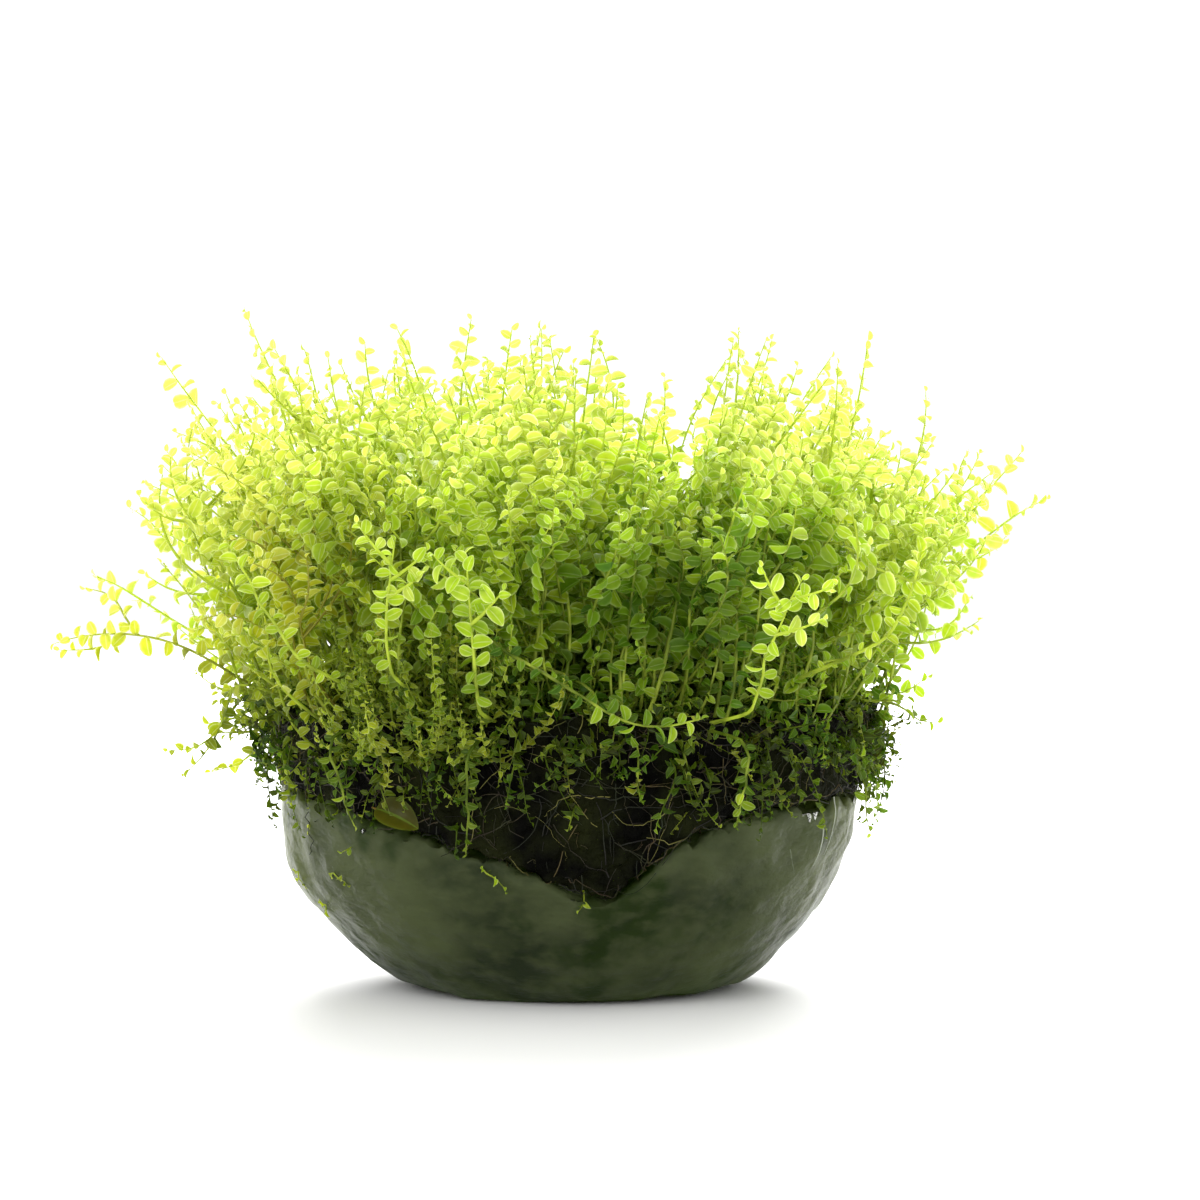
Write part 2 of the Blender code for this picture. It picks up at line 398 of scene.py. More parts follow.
def makeLeaf(name, shape):
    # a leaf of length 1 that lies along +Y with its stalk end at the origin
    rows = shape["rows"]
    deselectAll()
    bpy.ops.mesh.primitive_grid_add(x_subdivisions=2, y_subdivisions=len(rows) - 1, size=1)
    leaf = bpy.context.active_object
    leaf.name = name
    bpy.ops.object.mode_set(mode="EDIT")
    mesh = bmesh.from_edit_mesh(leaf.data)
    rowOf = {v: round((v.co.y + 0.5) * (len(rows) - 1)) for v in mesh.verts}
    for vertex in mesh.verts:
        vertex.select = abs(vertex.co.x) > 0.4
    mesh.select_flush_mode()
    bpy.ops.transform.translate(value=(0, 0, shape["cup"]))  # both edges of the blade
    for number, (along, widthShare) in enumerate(rows):
        for vertex in mesh.verts:
            vertex.select = rowOf[vertex] == number
        mesh.select_flush_mode()
        width = widthShare * shape["width"]
        bpy.ops.transform.resize(value=(width, 1, width), center_override=(0, 0, 0))
        evenPlace = number / (len(rows) - 1) - 0.5
        bpy.ops.transform.translate(value=(0, along - evenPlace, -shape["tipCurl"] * along**2))
    bpy.ops.object.mode_set(mode="OBJECT")
    bpy.ops.object.shade_smooth()
    leaf.hide_render = True
    return leaf


def makeFineLeaf(name, leaf):
    # the same leaf with a rounder blade, for the long shoots that stand in front
    fine = leaf.copy()
    fine.data = leaf.data.copy()
    fine.name = name
    bpy.context.scene.collection.objects.link(fine)
    addModifier(fine, "rounder", "SUBSURF", levels=1, render_levels=1)
    applyModifiers(fine)
    return fine


plainLeaf = makeLeaf("plainLeaf", leafShape)
tinyLeaf = makeLeaf("tinyLeaf", tinyLeafShape)
fineLeaf = makeFineLeaf("fineLeaf", plainLeaf)


def makeShootNodes(name, leaf, stemSides, material):
    # a tube along every stem, and a leaf at every point that has a leaf size
    group = bpy.data.node_groups.new(name, "GeometryNodeTree")
    for direction in ("INPUT", "OUTPUT"):
        group.interface.new_socket("Geometry", in_out=direction, socket_type="NodeSocketGeometry")

    def named(attribute, kind="FLOAT"):
        node = addNode(group, "GeometryNodeInputNamedAttribute", {"Name": attribute}, data_type=kind)
        return node.outputs["Attribute"]

    stems = addNode(group, "NodeGroupInput").outputs[0]
    curve = addNode(group, "GeometryNodeMeshToCurve", {"Mesh": stems}).outputs[0]
    ring = addNode(group, "GeometryNodeCurvePrimitiveCircle", {"Resolution": stemSides, "Radius": 1.0})
    inputs = {"Curve": curve, "Profile Curve": ring.outputs["Curve"], "Scale": named("stemRadius"), "Fill Caps": True}
    tube = addNode(group, "GeometryNodeCurveToMesh", inputs)
    inputs = {"Geometry": tube.outputs["Mesh"], "Name": "stem", "Value": 1.0}
    marked = addNode(group, "GeometryNodeStoreNamedAttribute", inputs, data_type="FLOAT")
    smooth = addNode(group, "GeometryNodeSetShadeSmooth", {"Geometry": marked.outputs[0]})

    leafInfo = addNode(group, "GeometryNodeObjectInfo", {"Object": leaf})
    leafSize = named("leafSize")
    isLeaf = addNode(group, "FunctionNodeCompare", {0: leafSize}, data_type="FLOAT", operation="GREATER_THAN")
    inputs = {"Points": stems, "Selection": isLeaf.outputs["Result"], "Instance": leafInfo.outputs["Geometry"]}
    inputs.update({"Rotation": named("leafTurn", "FLOAT_VECTOR"), "Scale": leafSize})
    placed = addNode(group, "GeometryNodeInstanceOnPoints", inputs)
    realized = addNode(group, "GeometryNodeRealizeInstances", {"Geometry": placed.outputs[0]})

    joined = addNode(group, "GeometryNodeJoinGeometry", {0: realized.outputs[0]})
    setInputs(group, joined, {0: smooth.outputs[0]})
    inputs = {"Geometry": joined.outputs[0], "Material": material}
    coloured = addNode(group, "GeometryNodeSetMaterial", inputs)
    addNode(group, "NodeGroupOutput", {0: coloured.outputs[0]})
    return group


class Shoots:
    # gathers the points of many shoots, then makes one mesh of them
    def __init__(self):
        self.points, self.edges = [], []
        self.turns, self.sizes, self.ages, self.olives, self.radii = [], [], [], [], []

    def add(self, points, turns, sizes, ages, olives, radii):
        first = len(self.points)
        self.points += [tuple(p) for p in points]
        self.edges += [(first + i, first + i + 1) for i in range(len(points) - 1)]
        self.turns += [tuple(t) for t in turns]
        self.sizes += list(sizes)
        self.ages += list(ages)
        self.olives += list(olives)
        self.radii += list(radii)

    def build(self, name, group):
        mesh = bpy.data.meshes.new(name)
        mesh.from_pydata(self.points, self.edges, [])
        for key, values in (
            ("leafSize", self.sizes),
            ("age", self.ages),
            ("olive", self.olives),
            ("stemRadius", self.radii),
        ):
            layer = mesh.attributes.new(key, "FLOAT", "POINT")
            layer.data.foreach_set("value", np.array(values, float))
        layer = mesh.attributes.new("leafTurn", "FLOAT_VECTOR", "POINT")
        layer.data.foreach_set("vector", np.array(self.turns, float).ravel())
        obj = bpy.data.objects.new(name, mesh)
        bpy.context.scene.collection.objects.link(obj)
        addModifier(obj, "leaves", "NODES", node_group=group)
        applyModifiers(obj)
        for spare in ("leafTurn", "leafSize", "stemRadius"):
            layer = obj.data.attributes.get(spare)
            if layer:
                obj.data.attributes.remove(layer)
        return obj


def bezier(p0, p1, p2, p3, count):
    t = np.linspace(0, 1, count)[:, None]
    p0, p1, p2, p3 = (np.array(p, float) for p in (p0, p1, p2, p3))
    return (1 - t) ** 3 * p0 + 3 * t * (1 - t) ** 2 * p1 + 3 * t**2 * (1 - t) * p2 + t**3 * p3


def leafSteps(path, gap, crowding):
    # points along a path that stand closer and closer towards its tip
    lengths = np.concatenate([[0], np.cumsum(np.linalg.norm(np.diff(path, axis=0), axis=1))])
    count = max(int(lengths[-1] / gap) + 1, 3)
    share = np.linspace(0, 1, count)
    at = lengths[-1] * share * (1 + crowding - crowding * share)
    return np.stack([np.interp(at, lengths, path[:, axis]) for axis in range(3)], axis=1)


def unit(vectors):
    return vectors / np.maximum(np.linalg.norm(vectors, axis=-1, keepdims=True), 1e-9)


def gausses(rng, spread, count=3):
    return np.array([rng.gauss(0, spread) for _ in range(count)])


def eulerAngles(x, y, z):
    # x, y and z are the columns of the turn
    ry = np.arcsin(np.clip(-x[:, 2], -1, 1))
    rx = np.arctan2(y[:, 2], z[:, 2])
    rz = np.arctan2(x[:, 1], x[:, 0])
    return np.stack([rx, ry, rz], axis=1)


shootLook = {
    "leafGap": 1.22 * mm,
    "crowding": 0.32,  # of the leaves near the tip
    "leafLength": 2.1 * mm,
    "bareShare": 0.09,  # of each shoot, from its root
    "spread": 78,  # degrees between stem and leaf
    "foldUp": 12,
    "lean": 0.65,  # of the leaf's face towards the shoot's tip
    "scatter": 0.30,
    "roll": 0.42,
    "smallLeaves": 4,  # below the bud
    "rootSize": 0.85,  # of the lowest leaves of a shoot, against the full size
    "fullSizeAt": 0.33,  # share of the shoot
    "lowSize": 0.72,  # of the leaves at the foot of the clump, against those higher up
    "wander": 1.4 * mm,
    "stemRadius": 0.21 * mm,
}


def leafyShoot(rng, path, facing, look, ageAt, olive, vigour=1.0):
    # leaves stand in two flat rows, left and right by turns, and shrink into a bud at the tip
    points = leafSteps(path, look["leafGap"] * vigour, look["crowding"])
    count = len(points)
    along = np.linspace(0, 1, count)
    tangents = unit(np.gradient(points, axis=0))
    facing = unit(np.array(facing, float))
    turnNow = rng.uniform(-0.9, 0.9) * along
    normals = unit(facing - (tangents @ facing)[:, None] * tangents)
    sides = np.cross(tangents, normals)
    normals, sides = (
        normals * np.cos(turnNow)[:, None] + sides * np.sin(turnNow)[:, None],
        sides * np.cos(turnNow)[:, None] - normals * np.sin(turnNow)[:, None],
    )
    hand = np.where(np.arange(count) % 2 == 0, 1.0, -1.0)[:, None]
    fromTip = (1 - along) * count  # leaves between here and the tip
    tipNess = np.clip(1 - fromTip / look["smallLeaves"], 0, 1)
    spread = np.radians(look["spread"]) * (1 - 0.6 * tipNess) + gausses(rng, 0.16, count)
    scatter = gausses(rng, 1, 3 * count).reshape(count, 3) * look["scatter"]
    fold = math.radians(look["foldUp"])
    outward = sides * hand
    blade = unit(tangents * np.cos(spread)[:, None] + outward * np.sin(spread)[:, None] + normals * 0.1 + scatter)
    face = normals * math.cos(fold) - outward * math.sin(fold) + tangents * look["lean"] + scatter[:, ::-1] * 0.8
    face = unit(face - np.sum(face * blade, axis=1)[:, None] * blade)
    roll = gausses(rng, look["roll"], count)[:, None]
    face = face * np.cos(roll) + np.cross(blade, face) * np.sin(roll)
    across = np.cross(blade, face)
    turns = eulerAngles(across, blade, face)
    growth = look["rootSize"] + (1 - look["rootSize"]) * np.clip(along / look["fullSizeAt"], 0, 1)
    sizes = look["leafLength"] * vigour * growth * (1 - 0.45 * tipNess)
    beyondMat = np.clip((np.hypot(points[:, 0], points[:, 1]) - matRadius) / (4 * mm), 0, 1)
    heightSize = np.clip((points[:, 2] - matTop + 1 * mm) / (9 * mm), look["lowSize"], 1)
    sizes *= (1.04 - 0.31 * along**2) * np.maximum(heightSize, beyondMat)
    sizes *= np.array([rng.uniform(0.78, 1.12) for _ in range(count)])
    sizes[along < look["bareShare"]] = 0
    ages = np.clip(ageAt(points, along) + gausses(rng, 0.12, count), 0.06, oldestAge)
    radii = look["stemRadius"] * vigour * (1 - 0.62 * along) * (1 - 0.4 * tipNess)
    radii *= np.array([rng.uniform(0.82, 1.15) for _ in range(count)])
    return points, turns, sizes, ages, np.full(count, olive), radii


crown = {
    # height of the crown's edge from the left to the right, in mm
    "outline": [
        (-47, 43), (-43, 47), (-40, 51), (-36, 57), (-32, 56), (-28, 60), (-24, 57.5), (-16, 60), (-9, 61),
        (-5, 62), (2, 59.5), (7, 57.5), (9.5, 54), (10.5, 50), (12.5, 50), (14, 56.5), (18, 61.5), (22, 56),
        (26, 58.5), (30, 53), (34, 49.5), (38, 48.5), (42, 49.5), (46, 49.5),
    ],
    "overshoot": 2.0 * mm,
    "halfWidth": 42 * mm,
    "halfDepth": 37 * mm,
    "spacing": 3.85 * mm,
    "edgeDrop": 4 * mm,
    "backDrop": 0.16,
    "uneven": 8 * mm,
    "tussocks": 4 * mm,
    "branchShare": 0.40,
    # single shoots that stand above or beside the rest, by place and height in mm
    "strays": [
        (-48, 34), (-47, 38.5), (-44.5, 45.5), (-39, 60), (-30, 64), (-18, 62.5), (-11, 64), (-3.5, 64.5), (2, 62.5),
        (8.5, 60), (16.5, 63.2), (19, 61), (25.5, 60), (29, 61.5), (33, 56.5), (43, 50.5), (44.5, 47), (33.5, 28.5),
    ],
    "oldAndShadedPatches": [(-19, 44, 8), (9, 41, 9), (20, 43, 5)],  # darker old leaves with painted shade: place, height, radius in mm
}
skirt = {
    # how far out the tips reach at each height, in mm
    "left": [(20, 29.5), (24, 32.5), (28, 37), (31, 40), (37, 42), (46, 42), (52, 41)],
    "right": [(20, 29.5), (24, 31), (29, 33), (37, 34.5), (45, 39), (52, 41.5)],
    "depthShare": 0.86,
    "count": 400,
}


def crownHeight(x):
    xs, zs = zip(*crown["outline"])
    return float(np.interp(x / mm, xs, zs)) * mm


def skirtReach(z, azimuth):
    # from the left profile to the right one round the clump
    share = 0.5 + 0.5 * math.cos(azimuth)
    left, right = (np.interp(z / mm, *zip(*skirt[side])) for side in ("left", "right"))
    return float(left * (1 - share) + right * share) * mm


tuftNames = sorted(name for name in cadNodes if name.startswith("tuft_"))
tuftDirections = {}
for tuftName in tuftNames:
    corners = np.array([v.co for v in cadNodes[tuftName].data.vertices])
    tuftDirections[tuftName] = (Vector(corners.mean(axis=0)) - fanCentre).normalized()


def nearestTuft(point):
    direction = (Vector(point) - fanCentre).normalized()
    return max(tuftNames, key=lambda name: direction.dot(tuftDirections[name]))


def ageAndShadeField(points, along):
    # darker low down and deep inside, for older leaves and as painted shade; paler at the crown and the thin sides,
    # for young leaves and as painted light shining through them
    height = np.clip((points[:, 2] - matTop) / (30 * mm), 0, 1)
    thinSide = np.clip(np.abs(points[:, 0]) / (42 * mm), 0, 1) ** 1.5
    unevenness = np.array([noise.noise(Vector(p) * 75) for p in points])
    age = 1.00 - 0.90 * height - 0.40 * thinSide - 0.15 * along**3 - 0.24 * unevenness
    # painted shade: darker patches on the older leaves in the crown
    for x, z, radius in crown["oldAndShadedPatches"]:
        away = np.hypot(points[:, 0] - x * mm, points[:, 2] - z * mm) / (radius * mm)
        age += 0.35 * np.exp(-(away**2))
    return age


def oliveAt(rng, point):
    left = np.clip((-point[0] - 8 * mm) / (30 * mm), 0, 1)
    low = np.clip((44 * mm - point[2]) / (20 * mm), 0, 1)
    patch = noise.noise(Vector(point) * 80 + Vector((7, 3, 1)))
    return float(np.clip(0.1 + 0.42 * left + 0.25 * low * left + 0.55 * patch + rng.gauss(0, 0.08), 0, 1))


def wander(rng, path, amount):
    steps = np.linspace(0, 1, len(path))
    out = path.copy()
    for axis in range(3):
        phase, pace = rng.uniform(0, 6.28), rng.uniform(3.5, 8)
        out[:, axis] += amount * np.sin(pace * steps + phase) * steps * (1.2 - 0.4 * steps)
    return out


def crownTips(rng):
    # tips on a jittered honeycomb over an oval, raised into tussocks with gaps between them
    rowGap = crown["spacing"] * 0.866
    rows = int(crown["halfDepth"] / rowGap)
    columns = int(crown["halfWidth"] / crown["spacing"])
    tips = []
    for row in range(-rows, rows + 1):
        for column in range(-columns, columns + 1):
            x = (column + 0.5 * (row % 2) + rng.uniform(-0.5, 0.5)) * crown["spacing"]
            y = (row + rng.uniform(-0.5, 0.5)) * rowGap
            rho = math.hypot(x / crown["halfWidth"], y / crown["halfDepth"])
            if rho > 1:
                continue
            tussock = noise.noise(Vector((x * 95, y * 95, 2.0)))
            lift = rng.choice((0, 0, 0, 1)) * rng.uniform(0, 2.4) * mm
            z = crownHeight(x) * (1 - crown["backDrop"] * (y / crown["halfDepth"]) ** 2)
            z += crown["overshoot"] + lift - rng.uniform(0, 1) ** 1.2 * crown["uneven"]
            z -= crown["edgeDrop"] * (y / crown["halfDepth"]) ** 4
            z += crown["tussocks"] * (tussock - 0.15)
            tips.append(((x * 0.52, y * 0.56, matTop - 1.5 * mm), (x, y, z), "crown"))
    for x, z in crown["strays"]:
        y = rng.uniform(-12, 10) * mm
        kind = "crown" if z > 48 else "skirt"
        tips.append(((x * 0.5 * mm, y * 0.6, matTop - 1.5 * mm), (x * mm, y, z * mm), kind))
    return tips


def skirtTips(rng):
    tips = []
    for number in range(skirt["count"]):
        azimuth = 2 * math.pi * (number + rng.uniform(0, 1)) / skirt["count"]
        z = (20 + 34 * rng.uniform(0, 1) ** 1.15) * mm
        reach = skirtReach(z, azimuth) * rng.uniform(0.78, 1.0)
        x, y = reach * math.cos(azimuth), reach * math.sin(azimuth) * skirt["depthShare"]
        z = min(z, crownHeight(x) - 2 * mm)
        rim = matRadius * rng.uniform(0.62, 0.93)
        root = (rim * math.cos(azimuth), rim * math.sin(azimuth), matTop - rng.uniform(0.5, 5.0) * mm)
        tips.append((root, (x, y, z), "skirt"))
    return tips


def shootPath(rng, root, tip, kind):
    length = np.linalg.norm(tip - root)
    flat = unit(np.array([tip[0], tip[1], 0.0]) + 1e-6)
    up = np.array([0, 0, 1.0])
    aside = np.array([rng.gauss(0, 1), rng.gauss(0, 1), 0.0]) * 0.09
    if kind == "crown":
        near = root + (up * 0.34 + flat * 0.04 + aside) * length
        far = tip - (unit(tip - root) * 0.3 + up * 0.05 - aside) * length
    else:
        near = root + (up * 0.2 + flat * 0.34 + aside) * length
        far = tip - (flat * 0.28 + up * rng.uniform(-0.06, 0.2) - aside) * length
    return wander(rng, bezier(root, near, far, tip, 24), shootLook["wander"])


def branchPath(rng, path):
    # a side shoot that leaves the stem half-way up or later, and bends back towards its direction
    start = rng.randint(9, 18)
    heading = unit(path[start + 1] - path[start])
    sideways = unit(np.cross(heading, gausses(rng, 1)))
    length = rng.uniform(6, 14) * mm
    tip = path[start] + (heading * 0.7 + sideways * 0.5 + np.array([0, 0, 0.1])) * length
    beyond = np.linalg.norm(tip - fanCentre) - np.linalg.norm(path[-1] - fanCentre)
    if beyond > 0:
        tip -= unit(tip - np.array(fanCentre)) * beyond
    near = path[start] + (heading * 0.25 + sideways * 0.3) * length
    far = tip - heading * 0.35 * length
    return bezier(path[start], near, far, tip, 14)


def makeClump():
    rng = random.Random(4)
    bundles = {name: Shoots() for name in tuftNames}
    shoots = crownTips(rng) + skirtTips(rng)
    for root, tip, kind in shoots:
        root, tip = np.array(root), np.array(tip)
        flat = unit(np.array([tip[0], tip[1], 0.0]) + 1e-6)
        path = shootPath(rng, root, tip, kind)
        facing = np.array([rng.gauss(0, 0.7), rng.gauss(0, 0.7), rng.gauss(0, 0.5)]) + flat * 0.8
        facing[2] += 0.3
        olive = oliveAt(rng, tip)
        vigour = rng.uniform(0.80, 1.12)
        bundle = bundles[nearestTuft(tip)]
        bundle.add(*leafyShoot(rng, path, facing, shootLook, ageAndShadeField, olive, vigour))
        while rng.random() < crown["branchShare"]:
            side = dict(shootLook, bareShare=0.08)
            bundle.add(*leafyShoot(rng, branchPath(rng, path), facing, side, ageAndShadeField, olive, vigour * 0.9))
    shootNodes = makeShootNodes("leafyShoots", plainLeaf, 3, leafMaterial)
    total = 0
    for name, bundle in bundles.items():
        piece = bundle.build(name + "_shoots", shootNodes)
        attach(piece, "root")
        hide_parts(name)
        triangles = sum(len(p.vertices) - 2 for p in piece.data.polygons)
        total += triangles
        print("tuft", name, triangles, "triangles")
    print("clump made of", len(shoots), "shoots,", total, "triangles")


makeClump()


def routeOfNode(nodeName, slices=9):
    # the middle line of a long CAD solid, from its lower end to its upper
    corners = np.array([v.co for v in cadNodes[nodeName].data.vertices])
    centre = corners.mean(axis=0)
    axis = np.linalg.svd(corners - centre, full_matrices=False)[2][0]
    place = (corners - centre) @ axis
    edges = np.linspace(place.min(), place.max() + 1e-9, slices + 1)
    route = []
    for low, high in zip(edges, edges[1:]):
        inside = (place >= low) & (place < high)
        if inside.any():
            route.append(corners[inside].mean(axis=0))
    return np.array(route)


heroShoots = {
    # which end of the solid the shoot grows from, how old and how olive its leaves are, and their length in mm;
    # for some also the bare share of the stem, and the points of the path (out of 60) where side shoots start
    "runner_front": {"rootEnd": "left", "age": 0.70, "olive": 0.1, "leafLength": 1.9},
    "runner_left": {"rootEnd": "low", "age": 0.45, "olive": 0.3, "leafLength": 1.9},
    "shoot_front_left": {
        "rootEnd": "low", "age": 0.34, "olive": 0.2, "leafLength": 1.95, "bareShare": 0.42, "branches": (40, 52, 47),
    },
    "shoot_front_middle": {
        "rootEnd": "low", "age": 0.42, "olive": 0.1, "leafLength": 2.35, "bareShare": 0.38, "branches": (40, 52),
    },
    "shoot_front_right": {
        "rootEnd": "low", "age": 0.34, "olive": 0.15, "leafLength": 2.05, "bareShare": 0.42, "branches": (42, 49, 53),
    },
    "shoot_right": {"rootEnd": "low", "age": 0.35, "olive": 0.35, "leafLength": 1.8},
    "shoot_hanging_right": {"rootEnd": "high", "age": 0.75, "olive": 0.3, "leafLength": 1.5},
    "shoot_hanging_middle": {"rootEnd": "high", "age": 0.9, "olive": 0.4, "leafLength": 1.3},
    "shoot_hanging_left": {"rootEnd": "high", "age": 0.9, "olive": 0.4, "leafLength": 1.3},
}
heroLook = dict(shootLook, leafGap=1.0 * mm, smallLeaves=3, scatter=0.42, lowSize=1, rootSize=0.3, fullSizeAt=0.8)
heroLook.update(foldUp=20)
heroFacing = (0.1, -1.0, 0.35)


def makeHeroShoots():
    rng = random.Random(11)
    fineNodes = makeShootNodes("fineShoots", fineLeaf, 6, leafMaterial)
    for name, values in heroShoots.items():
        look = dict(heroLook, leafLength=values["leafLength"] * mm, bareShare=values.get("bareShare", 0))
        route = routeOfNode(name)
        rootFirst = {
            "left": route[0][0] < route[-1][0],
            "low": route[0][2] < route[-1][2],
            "high": route[0][2] > route[-1][2],
        }[values["rootEnd"]]
        if not rootFirst:
            route = route[::-1]
        inward = route[0] * np.array([0.72, 0.72, 1.0])
        inward[2] = max(matTop - 1 * mm, inward[2] - 4 * mm) if values["rootEnd"] != "high" else matTop - 1 * mm
        route = np.vstack([inward, route])
        knots = np.linspace(0, 1, len(route))
        fine = np.linspace(0, 1, 60)
        path = np.stack([np.interp(fine, knots, route[:, axis]) for axis in range(3)], axis=1)
        for _ in range(6):
            path[1:-1] = (path[:-2] + 2 * path[1:-1] + path[2:]) / 4
        twigLook = dict(look, bareShare=0.12, rootSize=0.7, fullSizeAt=0.4)
        bundle = Shoots()
        age, olive = values["age"], values["olive"]
        bundle.add(*leafyShoot(rng, path, heroFacing, look, lambda p, s: age + 0.4 * (1 - s), olive))
        for number, start in enumerate(values.get("branches", ())):
            # short side shoots near the tip, to the right and to the left by turns
            heading = unit(path[start + 1] - path[start])
            aside = unit(np.cross(heading, [0, -1.0, 0])) * (-1) ** number
            tip = path[start] + (heading * 0.7 + aside * 0.8 + np.array([0, -0.3, 0.1])) * rng.uniform(3.2, 4.8) * mm
            twig = bezier(path[start], (path[start] + tip) / 2 + aside * 0.5 * mm, tip, tip, 10)
            bundle.add(*leafyShoot(rng, twig, heroFacing, twigLook, lambda p, s: age + 0 * s, olive, 0.85))
        piece = bundle.build(name + "_leafy", fineNodes)
        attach(piece, "root")
        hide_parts(name)
    print("long shoots made")


makeHeroShoots()

gelShape = {"voxel": 0.68 * mm, "dents": 0.9 * mm, "dentScale": 6 * mm, "lip": 1.3 * mm, "swell": 1.5 * mm}


def makeGel():
    gel = copyOfNode("culture_gel", "gel_puck")
    addModifier(gel, "fine", "REMESH", mode="VOXEL", voxel_size=gelShape["voxel"])
    addModifier(gel, "soft", "SMOOTH", iterations=3)
    broad = cloudTexture("gelDents", gelShape["dentScale"], 2)
    addModifier(gel, "dents", "DISPLACE", texture=broad, strength=gelShape["dents"], mid_level=0.6)
    applyModifiers(gel)
    upward = [vertex.normal.z for vertex in gel.data.vertices]
    for vertex, facingUp in zip(gel.data.vertices, upward):
        place = vertex.co
        radius = place.xy.length
        inLip = min(max((place.z - 7 * mm) / (9 * mm), 0), 1) * min(max((radius - 22 * mm) / (3 * mm), 0), 1)
        if facingUp > 0.25:  # the broken upper edge
            ragged = noise.noise(place * 420) + 0.6 * noise.noise(place * 1100)
            place.z += ragged * gelShape["lip"] * inLip
        # the left side sags outwards a little, half-way up
        place.x -= gelShape["swell"] * max(-place.x / (27 * mm), 0) ** 2 * math.exp(-(((place.z / mm - 10) / 5) ** 2))
        place.z = max(place.z, 0)
    gel.data.materials.clear()
    gel.data.materials.append(gelMaterial)
    gel.data.shade_smooth()
    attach(gel, "root")
    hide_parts("culture_gel")
    print("gel made,", len(gel.data.polygons), "faces")
    return gel


feltShape = {"voxel": 0.58 * mm, "lumps": 1.9 * mm, "lumpScale": 1.2 * mm}


def makeFelt():
    felt = copyOfNode("rhizoid_mat", "rhizoid_felt")
    addModifier(felt, "fine", "REMESH", mode="VOXEL", voxel_size=feltShape["voxel"])
    applyModifiers(felt)
    rough = cloudTexture("feltLumps", feltShape["lumpScale"], 3)
    addModifier(felt, "lumps", "DISPLACE", texture=rough, strength=feltShape["lumps"], mid_level=0.62)
    applyModifiers(felt)
    felt.data.materials.clear()
    felt.data.materials.append(feltMaterial)
    felt.data.shade_smooth()
    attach(felt, "root")
    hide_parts("rhizoid_mat")
    print("felt made,", len(felt.data.polygons), "faces")
    return felt


gel = makeGel()
felt = makeFelt()


def outerPoints(rng, obj, count, lowest, highest):
    # places on the outside of a piece between two heights, each with its normal
    faces = [f for f in obj.data.polygons if lowest < f.center.z < highest]
    faces = [f for f in faces if f.normal.xy.dot(f.center.xy) > 0.3 * f.center.xy.length or f.normal.z > 0.7]
    return [(np.array(f.center), np.array(f.normal)) for f in rng.choices(faces, k=count)]


def surfaceOf(*objects):
    vertices, faces = [], []
    for obj in objects:
        first = len(vertices)
        vertices += [v.co.copy() for v in obj.data.vertices]
        faces += [[first + i for i in f.vertices] for f in obj.data.polygons]
    return BVHTree.FromPolygons(vertices, faces)


def crawl(rng, tree, start, heading, step, count, wobble, above):
    # a path that keeps to a surface and bends slowly
    here, points = start, []
    bend = gausses(rng, wobble)
    for _ in range(count):
        bend = 0.8 * bend + gausses(rng, wobble * 0.5)
        heading = unit(heading + bend)
        hit, out, _, _ = tree.find_nearest(Vector(here + heading * step))
        here = np.array(hit + out * rng.uniform(*above) * mm)
        points.append(here)
    return points


def addThread(bundle, points, radius, age):
    count = len(points)
    radii = radius * np.linspace(1, 0.5, count)
    bundle.add(points, np.zeros((count, 3)), np.zeros(count), np.full(count, age), np.zeros(count), radii)


fibres = {
    "count": 1350,
    "step": 0.75 * mm,
    "steps": (8, 20),
    "radius": (0.03, 0.075),  # mm
    "overGel": 0.07,  # share of them that may creep down the gel
    "wobble": 0.16,
    "ages": (0.2, 0.45, 0.6, 0.7, 0.85, 0.9, 1.0, 1.0, 1.0, 1.0),
}


def makeFibres():
    # dead stems and rhizoids that lie tangled on the felt, and creep over the edge of the gel
    rng = random.Random(21)
    feltTree, wholeTree = surfaceOf(felt), surfaceOf(felt, gel)
    bundle = Shoots()
    for place, normal in outerPoints(rng, felt, fibres["count"], matLow[2], matTop + 2 * mm):
        tree = wholeTree if rng.random() < fibres["overGel"] else feltTree
        heading = unit(np.cross(normal, [rng.gauss(0, 1), rng.gauss(0, 1), rng.gauss(0, 0.6)]))
        heading[2] -= 0.25
        count = rng.randint(*fibres["steps"])
        points = crawl(rng, tree, place, heading, fibres["step"], count, fibres["wobble"], (-0.1, 0.45))
        addThread(bundle, points, rng.uniform(*fibres["radius"]) * mm, rng.choice(fibres["ages"]))
    piece = bundle.build("rhizoid_fibres", makeShootNodes("fibreNodes", plainLeaf, 3, fibreMaterial))
    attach(piece, "root")
    print("fibres made,", len(piece.data.polygons), "faces")


gelMarks = {
    "creases": 22,
    "creaseRadius": (0.015, 0.035),  # mm
    "tears": [(-27, 20.0, 7.0), (-31, 17.0, 5.0)],  # degrees round the gel, start height and length in mm
    "strands": 40,
    "sprigs": 5,
    "wall": [(0, 15), (2, 18.6), (5, 22), (9, 25), (12, 26.6), (18, 28)],  # height and radius of the gel in mm
}


def onWall(azimuth, height, share=1.0):
    # a place on the gel's side, or inside it
    reach = float(np.interp(height, *zip(*gelMarks["wall"]))) * mm * share
    return np.array([reach * math.cos(azimuth), reach * math.sin(azimuth), height * mm])


